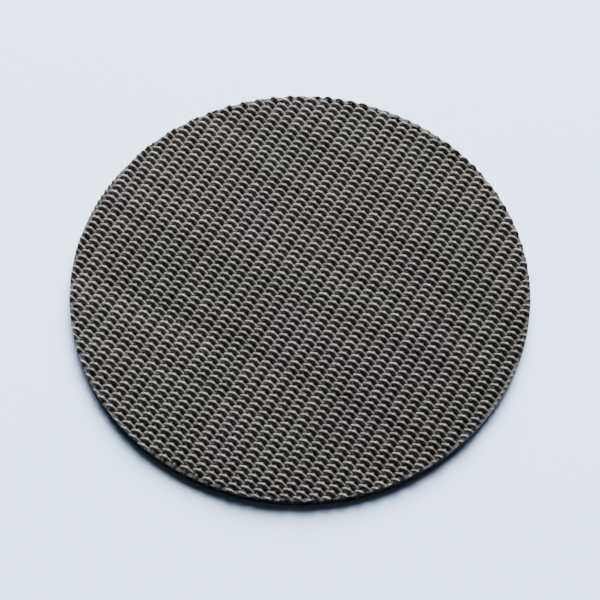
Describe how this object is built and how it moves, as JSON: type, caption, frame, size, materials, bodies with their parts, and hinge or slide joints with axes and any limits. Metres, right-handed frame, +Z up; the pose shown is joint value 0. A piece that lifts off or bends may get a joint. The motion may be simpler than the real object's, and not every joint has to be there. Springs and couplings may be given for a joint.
{
  "type": "wire mesh filter disc",
  "caption": "Flat round filter screen punched from heavy Dutch weave wire cloth, with close parallel ridges on both faces and a plain cut rim.",
  "frame": {"origin": "centre of the underside, on the plane that the lower wire crests rest on", "axes": "+Z up through the thickness, +Y along the thick weft wires and the ridges, +X across the ridges"},
  "size_m": [0.053, 0.053, 0.0014],
  "materials": {
    "dark_wire": "dark grey mill-finish steel wire, satin"
  },
  "bodies": {
    "root": {"mesh_disc": "dark_wire"}
  },
  "joints": []
}
